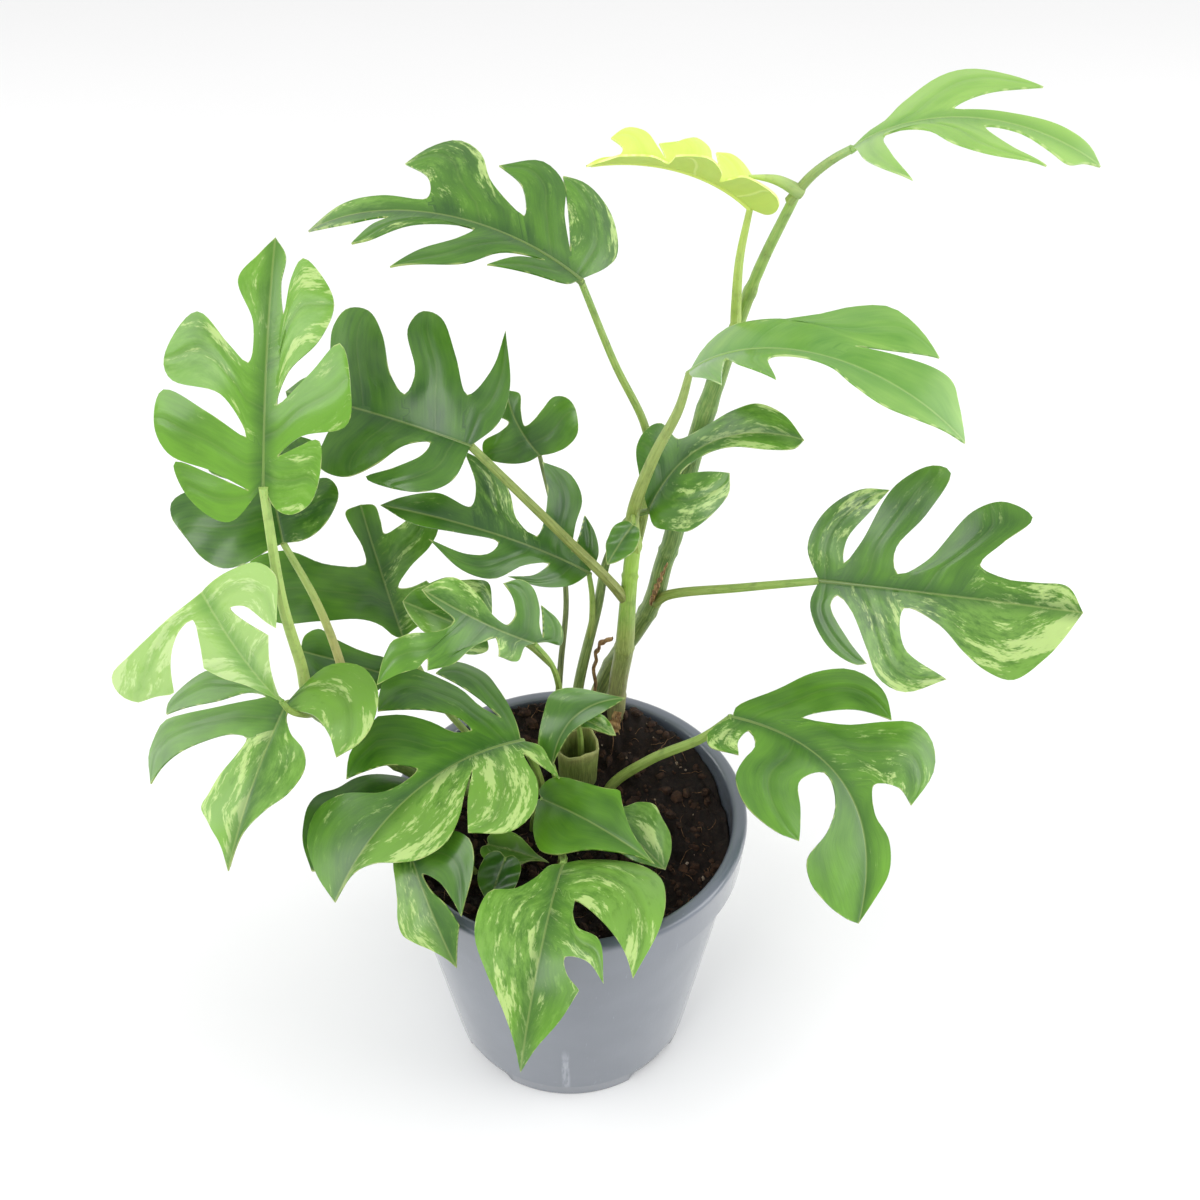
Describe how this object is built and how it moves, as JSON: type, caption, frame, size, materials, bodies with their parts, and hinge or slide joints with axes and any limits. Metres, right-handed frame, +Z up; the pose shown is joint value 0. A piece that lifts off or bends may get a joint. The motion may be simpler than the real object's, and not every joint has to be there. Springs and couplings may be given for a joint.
{
  "type": "potted mini monstera plant",
  "caption": "Young variegated mini monstera: split green and cream leaves on long stalks and climbing stems, in a tapered grey plastic nursery pot.",
  "frame": {"origin": "centre of the pot's flat underside, on the surface it stands on", "axes": "+Z up through the pot's axis; -Y is the plant's front; +X is to the right seen from the front"},
  "size_m": [0.2946, 0.1651, 0.3378],
  "materials": {
    "pot_plastic": "satin moulded plastic with fine scuffs",
    "potting_soil": "rough damp potting mix with light fibres",
    "old_stem": "ribbed, dry at the edges",
    "stem_green": "smooth with rings at the nodes",
    "dry_sheath": "papery and wrinkled",
    "stalk_green": "smooth, waxy",
    "leaf_variegated": "waxy, green with cream streaks",
    "leaf_pale_green": "waxy, soft light green",
    "leaf_yellow_green": "waxy, fresh yellow-green"
  },
  "bodies": {
    "root": {"blade_01": "leaf_variegated", "blade_02": "leaf_variegated", "blade_03": "leaf_variegated", "blade_04": "leaf_variegated", "blade_05": "leaf_yellow_green", "blade_06": "leaf_pale_green", "blade_07": "leaf_pale_green", "blade_08": "leaf_variegated", "blade_09": "leaf_variegated", "blade_10": "leaf_variegated", "blade_11": "leaf_variegated", "blade_12": "leaf_variegated", "blade_13": "leaf_variegated", "blade_14": "leaf_variegated", "blade_15": "leaf_variegated", "blade_16": "leaf_variegated", "blade_17": "leaf_variegated", "blade_18": "leaf_variegated", "blade_19": "leaf_variegated", "blade_20": "leaf_variegated", "blade_21": "leaf_variegated", "leaf_22": "leaf_variegated", "leaf_23": "leaf_variegated", "leaf_24": "leaf_variegated", "leaf_25": "leaf_variegated", "leaf_26": "leaf_variegated", "leaf_27": "leaf_variegated", "leaf_28": "leaf_variegated", "leaf_29": "leaf_variegated", "new_leaf": "leaf_yellow_green", "pot": "pot_plastic", "sheath_base": "dry_sheath", "sheath_climbing": "dry_sheath", "sheath_main": "dry_sheath", "soil": "potting_soil", "stalk_01": "stalk_green", "stalk_02": "stalk_green", "stalk_03": "stalk_green", "stalk_04": "stalk_green", "stalk_05": "stalk_green", "stalk_06": "stalk_green", "stalk_07": "stalk_green", "stalk_08": "stalk_green", "stalk_09": "stalk_green", "stalk_10": "stalk_green", "stalk_11": "stalk_green", "stalk_12": "stalk_green", "stalk_13": "stalk_green", "stalk_14": "stalk_green", "stalk_15": "stalk_green", "stalk_16": "stalk_green", "stalk_17": "stalk_green", "stalk_18": "stalk_green", "stalk_19": "stalk_green", "stalk_20": "stalk_green", "stalk_21": "stalk_green", "stem_climbing": "stem_green", "stem_main": "stem_green", "stem_side": "stem_green", "stump": "old_stem"}
  },
  "joints": []
}
